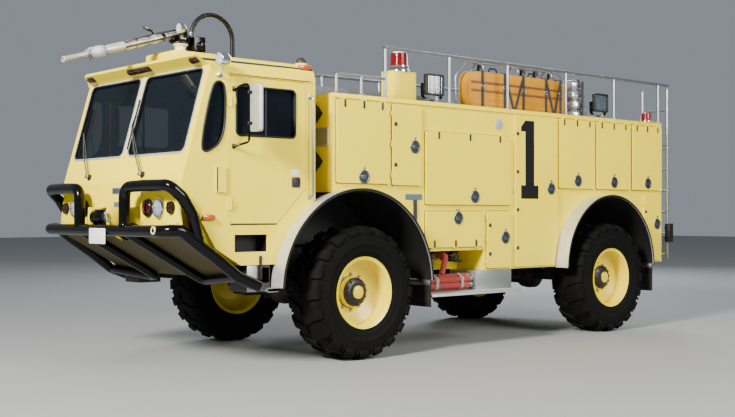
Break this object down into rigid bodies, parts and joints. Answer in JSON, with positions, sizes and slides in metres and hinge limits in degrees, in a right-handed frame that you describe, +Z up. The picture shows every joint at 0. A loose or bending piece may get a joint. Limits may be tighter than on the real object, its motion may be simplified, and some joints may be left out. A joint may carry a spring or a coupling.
{
  "type": "airport fire truck",
  "caption": "Four-wheel airport crash tender: raked glazed cab with brush guard and roof turret, hinged side lockers, railed deck with ladder, stretcher and beacons.",
  "frame": {"origin": "on the ground, under the middle of the part's length and width", "axes": "+X forward, +Y to the driver's left, +Z up"},
  "size_m": [8.6494, 2.976, 3.718],
  "materials": {
    "body_yellow": "gloss paint",
    "rim_yellow": "gloss paint",
    "black_tube": "satin paint",
    "tyre_rubber": "matt",
    "black_rubber": "matt",
    "chassis_grey": "satin paint",
    "spring_steel": "matt",
    "tread_aluminium": "brushed",
    "polished_aluminium": "polished",
    "window_glass": "clear",
    "lamp_chrome": "polished",
    "lamp_red": "clear red",
    "stretcher_orange": "moulded",
    "blanket_foil": "silvered",
    "hose_red": "woven",
    "cab_trim": "moulded"
  },
  "bodies": {
    "truck": {"chassis_frame": "chassis_grey", "leaf_springs": "spring_steel", "front_axle": "chassis_grey", "rear_axle": "chassis_grey", "driveline": "chassis_grey", "cab_shell": "body_yellow", "cab_glass": "window_glass", "cab_interior": "cab_trim", "front_guard": "black_tube", "skid_plate": "body_yellow", "winch": "black_tube", "cab_lamps": "lamp_chrome", "wipers": "black_tube", "steps_and_rails": "tread_aluminium", "turret_base": "body_yellow", "turret_hose": "black_rubber", "body_shell": "body_yellow", "arch_bands": "polished_aluminium", "mud_flaps": "black_rubber", "bellows": "black_rubber", "hose_bundle": "hose_red", "deck_rails": "polished_aluminium", "deck_lamps": "lamp_red", "stretcher": "stretcher_orange", "blanket_stack": "blanket_foil", "roof_ladder": "tread_aluminium", "rear_ladder": "polished_aluminium"},
    "knuckle_left": {"knuckle_left": "chassis_grey"},
    "knuckle_right": {"knuckle_right": "chassis_grey"},
    "tie_rod": {"tie_rod": "spring_steel"},
    "wheel_front_left": {"tyre_front_left": "tyre_rubber", "rim_front_left": "rim_yellow"},
    "wheel_front_right": {"tyre_front_right": "tyre_rubber", "rim_front_right": "rim_yellow"},
    "wheel_rear_left": {"tyre_rear_left": "tyre_rubber", "rim_rear_left": "rim_yellow"},
    "wheel_rear_right": {"tyre_rear_right": "tyre_rubber", "rim_rear_right": "rim_yellow"},
    "cab_door_left": {"cab_door_left": "body_yellow", "cab_door_glass_left": "window_glass", "mirror_left": "lamp_chrome"},
    "cab_door_right": {"cab_door_right": "body_yellow", "cab_door_glass_right": "window_glass", "mirror_right": "lamp_chrome"},
    "turret_head": {"turret_swivel": "black_tube"},
    "barrel": {"turret_barrel": "body_yellow"},
    "locker_door_left_1": {"locker_door_left_1": "body_yellow"},
    "locker_door_left_2": {"locker_door_left_2": "body_yellow"},
    "locker_door_left_3": {"locker_door_left_3": "body_yellow"},
    "locker_door_left_4": {"locker_door_left_4": "body_yellow"},
    "locker_door_left_5": {"locker_door_left_5": "body_yellow"},
    "locker_door_left_6": {"locker_door_left_6": "body_yellow"},
    "locker_door_left_7": {"locker_door_left_7": "body_yellow"},
    "locker_door_left_8": {"locker_door_left_8": "body_yellow"},
    "locker_door_left_9": {"locker_door_left_9": "body_yellow"},
    "locker_door_left_10": {"locker_door_left_10": "body_yellow"},
    "locker_door_right_1": {"locker_door_right_1": "body_yellow"},
    "locker_door_right_2": {"locker_door_right_2": "body_yellow"},
    "locker_door_right_3": {"locker_door_right_3": "body_yellow"},
    "locker_door_right_4": {"locker_door_right_4": "body_yellow"}
  },
  "joints": [
    {"name": "steering_left", "type": "hinge", "parent": "truck", "child": "knuckle_left", "pos_m": [1.57532, 0.82, 0.705], "axis": [0, 0, 1], "range_deg": [-28, 28]},
    {"name": "steering_right", "type": "hinge", "parent": "truck", "child": "knuckle_right", "pos_m": [1.57532, -0.82, 0.705], "axis": [0, 0, 1], "range_deg": [-28, 28]},
    {"name": "tie_rod_pivot", "type": "hinge", "parent": "knuckle_left", "child": "tie_rod", "pos_m": [1.24532, 0.82, 0.555], "axis": [0, 0, 1], "range_deg": [-28, 28]},
    {"name": "wheel_spin_front_left", "type": "hinge", "parent": "knuckle_left", "child": "wheel_front_left", "pos_m": [1.57532, 1.165, 0.705], "axis": [0, 1, 0], "continuous": true},
    {"name": "wheel_spin_front_right", "type": "hinge", "parent": "knuckle_right", "child": "wheel_front_right", "pos_m": [1.57532, -1.165, 0.705], "axis": [0, 1, 0], "continuous": true},
    {"name": "wheel_spin_rear_left", "type": "hinge", "parent": "truck", "child": "wheel_rear_left", "pos_m": [-2.70468, 1.165, 0.705], "axis": [0, 1, 0], "continuous": true},
    {"name": "wheel_spin_rear_right", "type": "hinge", "parent": "truck", "child": "wheel_rear_right", "pos_m": [-2.70468, -1.165, 0.705], "axis": [0, 1, 0], "continuous": true},
    {"name": "cab_door_hinge_left", "type": "hinge", "parent": "truck", "child": "cab_door_left", "pos_m": [3.16782, 1.232, 2.1], "axis": [0, 0, -1], "range_deg": [0, 70]},
    {"name": "cab_door_hinge_right", "type": "hinge", "parent": "truck", "child": "cab_door_right", "pos_m": [3.16782, -1.232, 2.1], "axis": [0, 0, 1], "range_deg": [0, 70]},
    {"name": "turret_yaw", "type": "hinge", "parent": "truck", "child": "turret_head", "pos_m": [2.97532, 0, 3.336], "axis": [0, 0, 1], "range_deg": [-50, 50]},
    {"name": "turret_pitch", "type": "hinge", "parent": "turret_head", "child": "barrel", "pos_m": [2.97532, 0, 3.45], "axis": [0, -1, 0], "range_deg": [0, 60]},
    {"name": "locker_door_left_1_hinge", "type": "hinge", "parent": "truck", "child": "locker_door_left_1", "pos_m": [1.44532, 1.213, 2.755], "axis": [1, 0, 0], "range_deg": [0, 90]},
    {"name": "locker_door_left_2_hinge", "type": "hinge", "parent": "truck", "child": "locker_door_left_2", "pos_m": [1.03532, 1.213, 2.2975], "axis": [0, 0, -1], "range_deg": [0, 90]},
    {"name": "locker_door_left_3_hinge", "type": "hinge", "parent": "truck", "child": "locker_door_left_3", "pos_m": [-0.20468, 1.213, 2.48], "axis": [1, 0, 0], "range_deg": [0, 90]},
    {"name": "locker_door_left_4_hinge", "type": "hinge", "parent": "truck", "child": "locker_door_left_4", "pos_m": [0.04032, 1.213, 1.14], "axis": [-1, 0, 0], "range_deg": [0, 90]},
    {"name": "locker_door_left_5_hinge", "type": "hinge", "parent": "truck", "child": "locker_door_left_5", "pos_m": [-0.49468, 1.213, 1.23], "axis": [0, 0, -1], "range_deg": [0, 90]},
    {"name": "locker_door_left_6_hinge", "type": "hinge", "parent": "truck", "child": "locker_door_left_6", "pos_m": [-0.99468, 1.213, 1.8175], "axis": [0, 0, -1], "range_deg": [0, 90]},
    {"name": "locker_door_left_7_hinge", "type": "hinge", "parent": "truck", "child": "locker_door_left_7", "pos_m": [-2.20468, 1.213, 2.755], "axis": [1, 0, 0], "range_deg": [0, 90]},
    {"name": "locker_door_left_8_hinge", "type": "hinge", "parent": "truck", "child": "locker_door_left_8", "pos_m": [-2.98968, 1.213, 2.755], "axis": [1, 0, 0], "range_deg": [0, 90]},
    {"name": "locker_door_left_9_hinge", "type": "hinge", "parent": "truck", "child": "locker_door_left_9", "pos_m": [-3.75468, 1.213, 2.755], "axis": [1, 0, 0], "range_deg": [0, 90]},
    {"name": "locker_door_left_10_hinge", "type": "hinge", "parent": "truck", "child": "locker_door_left_10", "pos_m": [-3.66468, 1.213, 1.34], "axis": [0, 0, -1], "range_deg": [0, 90]},
    {"name": "locker_door_right_1_hinge", "type": "hinge", "parent": "truck", "child": "locker_door_right_1", "pos_m": [-0.20468, -1.213, 2.48], "axis": [-1, 0, 0], "range_deg": [0, 90]},
    {"name": "locker_door_right_2_hinge", "type": "hinge", "parent": "truck", "child": "locker_door_right_2", "pos_m": [-0.99468, -1.213, 1.8175], "axis": [0, 0, 1], "range_deg": [0, 90]},
    {"name": "locker_door_right_3_hinge", "type": "hinge", "parent": "truck", "child": "locker_door_right_3", "pos_m": [-2.59968, -1.213, 2.755], "axis": [-1, 0, 0], "range_deg": [0, 90]},
    {"name": "locker_door_right_4_hinge", "type": "hinge", "parent": "truck", "child": "locker_door_right_4", "pos_m": [-3.75468, -1.213, 2.755], "axis": [-1, 0, 0], "range_deg": [0, 90]}
  ],
  "couplings": [
    {"joint": "steering_right", "follows": "steering_left", "ratio": 1},
    {"joint": "tie_rod_pivot", "follows": "steering_left", "ratio": -1}
  ]
}
